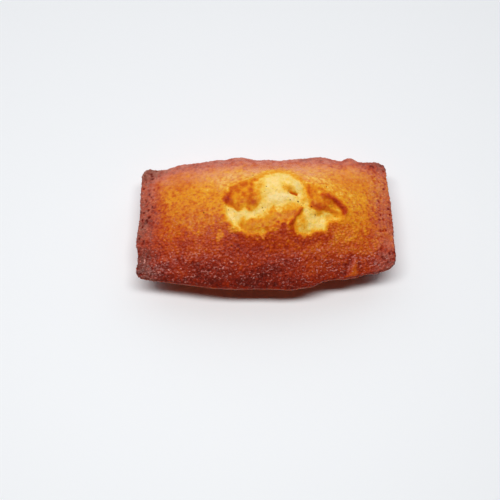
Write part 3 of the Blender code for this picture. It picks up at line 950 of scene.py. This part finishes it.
# The cake
# One piece of baked almond batter: a thin browned crust, rich in butter, around an open pale crumb. Nothing
# is fixed to it, and its flat base lies on the table.

# What each share of browning looks like, as display colours from 0 to 255
BAKE_COLOURS = (
    (0.00, (244, 217, 148)), (0.12, (240, 200, 92)), (0.24, (228, 156, 28)), (0.34, (220, 133, 22)),
    (0.44, (206, 104, 14)), (0.58, (186, 67, 9)), (0.72, (160, 42, 10)), (0.86, (126, 28, 11)),
    (1.00, (92, 20, 12)),
)

# The colours of the painted sheen and of the painted glints, which stand in for reflections on the crust
PAINTED_SHEEN_COLOUR = (226, 160, 136)
PAINTED_GLINT_COLOUR = (230, 152, 141)

# The noises that colour and roughen the crust, in swells per metre, and the value that they lie around
SPOT_SCALE = 640.0
CELL_SCALE = 1400.0
FINE_SCALE = 2000.0
GRAIN_SCALE = 1550.0
GRAIN_STRETCH = (0.8, 1.15, 1.0)
CLUSTER_SCALE = 430.0
NOISE_MIDDLE = 0.5

# How far the noises shift the browning, how far painted shade darkens the creases of the grain and painted
# highlight lightens its crowns, and how much less the noises do on grease and crumb
SPOT_TONE = 0.34
FINE_TONE = 0.16
PAINTED_CREASE_SHADE = 0.16
GREASE_EVENNESS = -0.5
CRUMB_EVENNESS = -0.5

# Where the noise starts to give painted glints and where they are brightest, how they gather in clusters,
# and how patchy the painted sheen is
GRAIN_SPAN = (0.59, 0.68)
CLUSTER_SPAN = (0.4, 0.6)
CLUSTER_GLINTS = (0.15, 0.78)
CLOUD_CONTRAST = 2.6
CLOUD_LEVEL = -0.3

# How rough and how uneven the surface is, with the height of each noise as a share of the relief
CRUST_ROUGHNESS = 0.27
CRUMB_ROUGHENING = 0.45
UNEVEN_ROUGHNESS = 0.2
CELL_HEIGHT = 0.4
GREASE_CELL_HEIGHT = 1.1
GRAIN_HEIGHT = 0.25
FINE_HEIGHT = 0.35
RELIEF = 0.3 * MM
COAT_ON_CROWNS = 0.75
COAT_IN_CREASES = -0.6
COAT_ROUGHNESS = 0.3
CRUST_SPECULAR = 0.08
GLOW_WEIGHT = 0.25
GLOW_COLOURS = (1.0, 0.5, 0.25)
GLOW_DEPTH = 1.2 * MM


def display_colour(red, green, blue):
    """The linear colour that a screen shows as this red, green and blue."""
    shares = np.array((red, green, blue)) / 255.0
    linear = np.where(shares <= 0.04045, shares / 12.92, ((shares + 0.055) / 1.055) ** 2.4)
    return (*linear, 1.0)


def make_bake_colour():
    """A node group: the colour of cake that browned by some share."""
    group = bpy.data.node_groups.new("bake_colour", "ShaderNodeTree")
    group.interface.new_socket("Browning", in_out="INPUT", socket_type="NodeSocketFloat")
    group.interface.new_socket("Colour", in_out="OUTPUT", socket_type="NodeSocketColor")
    start = group.nodes.new("NodeGroupInput")
    ramp = add_node(group, "ShaderNodeValToRGB", {"Fac": start.outputs["Browning"]})
    stops = ramp.color_ramp.elements
    stops[0].color = display_colour(*BAKE_COLOURS[0][1])
    stops[1].color = display_colour(*BAKE_COLOURS[-1][1])
    for share, colour in BAKE_COLOURS[1:-1]:
        stops.new(share).color = display_colour(*colour)
    end = group.nodes.new("NodeGroupOutput")
    group.links.new(ramp.outputs["Color"], end.inputs["Colour"])
    return group


bake_colour = make_bake_colour()


def colour_of(tree, browning_and_shade):
    """The colour that belongs to a browning, through the node group."""
    node = add_node(tree, "ShaderNodeGroup", node_tree=bake_colour)
    tree.links.new(browning_and_shade, node.inputs["Browning"])
    return node.outputs["Colour"]


def kept_number(tree, name):
    """One of the numbers that the mesh keeps for each of its points."""
    return add_node(tree, "ShaderNodeAttribute", attribute_name=name).outputs["Fac"]


def noise_in(tree, place, scale, detail=1.0, roughness=0.5):
    """Smooth noise around one half, with so many swells to the metre."""
    return add_node(tree, "ShaderNodeTexNoise", {
        "Vector": place, "Scale": scale, "Detail": detail, "Roughness": roughness}).outputs["Fac"]


def mixed_colours(tree, share, first, second):
    """The first colour where share is 0, the second where it is 1. Its colour sockets are 6, 7 and 2."""
    return add_node(tree, "ShaderNodeMix", {0: share, 6: first, 7: second}, data_type="RGBA").outputs[2]


def make_cake_material():
    """Browned crust that turns to open crumb where the crumb attribute says so."""
    material, tree, shader = new_material("browned_crust")
    place = add_node(tree, "ShaderNodeTexCoord").outputs["Object"]
    browning_and_shade, crumb, crease, grease_and_glints, painted_sheen = (
        kept_number(tree, name) for name in ("browning_and_shade", "crumb", "crease", "grease_and_glints", "painted_sheen"))
    spots = noise_in(tree, place, SPOT_SCALE, detail=2.0)
    cells = noise_in(tree, place, CELL_SCALE)
    fine = noise_in(tree, place, FINE_SCALE, detail=2.0, roughness=0.6)
    clusters = noise_in(tree, place, CLUSTER_SCALE)
    stretched = add_node(tree, "ShaderNodeMapping", {"Vector": place, "Scale": GRAIN_STRETCH})
    waves = noise_in(tree, stretched.outputs["Vector"], GRAIN_SCALE)

    spot = compute(tree, "SUBTRACT", spots, NOISE_MIDDLE)
    fleck = compute(tree, "SUBTRACT", fine, NOISE_MIDDLE)
    shift = compute(tree, "ADD", compute(tree, "MULTIPLY", spot, SPOT_TONE),
                    compute(tree, "MULTIPLY", fleck, FINE_TONE))
    evened = compute(tree, "MULTIPLY_ADD", crumb, CRUMB_EVENNESS, 1.0)
    evened = compute(tree, "MULTIPLY_ADD", grease_and_glints, GREASE_EVENNESS, evened)
    toned = compute(tree, "MULTIPLY_ADD", shift, evened, browning_and_shade)
    # Painted shade in the creases of the grain and painted highlight on its crowns
    depth = compute(tree, "SUBTRACT", crease, CREASE_MIDDLE)
    toned = compute(tree, "MULTIPLY_ADD", depth, PAINTED_CREASE_SHADE, toned)

    # Painted sheen in patches, which stands in for the room's reflection on the crust
    cloudiness = compute(tree, "MULTIPLY_ADD", clusters, CLOUD_CONTRAST, CLOUD_LEVEL)
    painted_sheen_share = compute(tree, "MULTIPLY", painted_sheen, cloudiness)
    sheened = mixed_colours(tree, painted_sheen_share, colour_of(tree, toned), display_colour(*PAINTED_SHEEN_COLOUR))
    # Painted glints that stand in for the lamp's reflection on the crowns of the grain
    grains = add_node(tree, "ShaderNodeMapRange", {
        "Value": waves, "From Min": GRAIN_SPAN[0], "From Max": GRAIN_SPAN[1]},
        interpolation_type="SMOOTHSTEP").outputs["Result"]
    glints = add_node(tree, "ShaderNodeMapRange", {
        "Value": clusters, "From Min": CLUSTER_SPAN[0], "From Max": CLUSTER_SPAN[1],
        "To Min": CLUSTER_GLINTS[0], "To Max": CLUSTER_GLINTS[1]}).outputs["Result"]
    glints = compute(tree, "MULTIPLY", glints, grease_and_glints)
    painted_glints = compute(tree, "MULTIPLY", grains, glints)
    tree.links.new(mixed_colours(tree, painted_glints, sheened, display_colour(*PAINTED_GLINT_COLOUR)),
                   shader.inputs["Base Color"])

    dull = compute(tree, "MULTIPLY_ADD", crumb, CRUMB_ROUGHENING, CRUST_ROUGHNESS)
    dull = compute(tree, "MULTIPLY_ADD", fleck, UNEVEN_ROUGHNESS, dull)
    tree.links.new(dull, shader.inputs["Roughness"])
    cell_height = compute(tree, "MULTIPLY_ADD", grease_and_glints, GREASE_CELL_HEIGHT, CELL_HEIGHT)
    height = compute(tree, "MULTIPLY", cells, cell_height)
    height = compute(tree, "MULTIPLY_ADD", grains, GRAIN_HEIGHT, height)
    height = compute(tree, "MULTIPLY_ADD", fine, FINE_HEIGHT, height)
    bump = add_node(tree, "ShaderNodeBump", {"Height": height, "Strength": 1.0, "Distance": RELIEF})
    tree.links.new(bump.outputs["Normal"], shader.inputs["Normal"])
    coat = compute(tree, "MULTIPLY_ADD", crease, COAT_IN_CREASES, COAT_ON_CROWNS)
    tree.links.new(compute(tree, "MULTIPLY", grease_and_glints, coat), shader.inputs["Coat Weight"])
    shader.inputs["Coat Roughness"].default_value = COAT_ROUGHNESS
    shader.inputs["Specular IOR Level"].default_value = CRUST_SPECULAR
    shader.inputs["Subsurface Weight"].default_value = GLOW_WEIGHT
    shader.inputs["Subsurface Radius"].default_value = GLOW_COLOURS
    shader.inputs["Subsurface Scale"].default_value = GLOW_DEPTH
    return material


cake_mesh.materials.append(make_cake_material())
cake_mesh.shade_smooth()
cake_mesh.update()
cake = bpy.data.objects.new("financier_cake", cake_mesh)
bpy.context.scene.collection.objects.link(cake)
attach(cake, "root")
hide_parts("financier")

# The flecks
# Crumbs of brown almond skin from the ground almonds, a few tenths of a millimetre across. They were baked
# into the batter, and lie half sunk in the top, where they show best in the pale crumb.

# The flecks that show most, as places in millimetres with a reach
PLAIN_FLECKS = (
    ((10.9, 1.8), 0.26), ((15.3, 0.0), 0.22), ((8.3, 2.3), 0.16), ((-1.0, -0.1), 0.16),
    ((-11.5, -12.1), 0.22), ((-11.2, -8.1), 0.2), ((-20.4, -0.4), 0.18), ((-14.0, -11.7), 0.18),
    ((0.6, 7.2), 0.15), ((16.4, -2.6), 0.18), ((-12.2, 0.2), 0.16), ((23.2, -2.6), 0.16),
    ((-3.6, 13.4), 0.16), ((20.9, 7.6), 0.15),
)
# The others are strewn by chance around a middle, and thin out over a spread, in millimetres
FLECK_COUNT = 60
FLECK_SEED = 11
FLECK_REACH = (0.05, 0.10)
FLECK_MIDDLE = (6.0, 1.0)
FLECK_SPREAD = (13.0, 7.0)
FLECK_LENGTHENING = (1.0, 1.6)
FLECK_FLATNESS = 0.5
ABOVE_CAKE = 50.0 * MM

SKIN_SCALE = 1500.0
SKIN_BROWNING = 0.72
SKIN_UNEVENNESS = 0.5
SKIN_ROUGHNESS = 0.7
SKIN_SPECULAR = 0.05


def almond_skin():
    """Dark brown skin, a little uneven in its browning."""
    material, tree, shader = new_material("almond_skin")
    place = add_node(tree, "ShaderNodeTexCoord").outputs["Object"]
    patches = noise_in(tree, place, SKIN_SCALE)
    browned = compute(tree, "MULTIPLY_ADD", patches, SKIN_UNEVENNESS, SKIN_BROWNING)
    tree.links.new(colour_of(tree, browned), shader.inputs["Base Color"])
    shader.inputs["Roughness"].default_value = SKIN_ROUGHNESS
    shader.inputs["Specular IOR Level"].default_value = SKIN_SPECULAR
    return material


def make_flecks():
    """All flecks as one mesh, each a small flattened ball turned to the surface below it."""
    picker = np.random.default_rng(FLECK_SEED)
    chosen = list(PLAIN_FLECKS)
    for _ in range(FLECK_COUNT):
        place = [picker.normal(middle, spread) for middle, spread in zip(FLECK_MIDDLE, FLECK_SPREAD)]
        chosen.append((place, picker.uniform(*FLECK_REACH)))
    sheet = bmesh.new()
    for (east, north), reach in chosen:
        above = Vector((east * MM, north * MM, ABOVE_CAKE))
        hit, place, normal, _ = cake.ray_cast(above, Vector((0.0, 0.0, -1.0)))
        if hit:
            longer = reach * MM * picker.uniform(*FLECK_LENGTHENING)
            shape = Matrix.Diagonal((longer, reach * MM, reach * MM * FLECK_FLATNESS, 1.0))
            turn = Matrix.Rotation(picker.uniform(0.0, np.pi), 4, "Z")
            tilt = normal.to_track_quat("Z", "Y").to_matrix().to_4x4()
            bmesh.ops.create_icosphere(sheet, subdivisions=2, radius=1.0,
                                       matrix=Matrix.Translation(place) @ tilt @ turn @ shape)
    mesh = bpy.data.meshes.new("almond_flecks")
    sheet.to_mesh(mesh)
    sheet.free()
    mesh.shade_smooth()
    mesh.materials.append(almond_skin())
    flecks = bpy.data.objects.new("almond_flecks", mesh)
    bpy.context.scene.collection.objects.link(flecks)
    return flecks


bpy.context.view_layer.update()
flecks = make_flecks()
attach(flecks, "root")
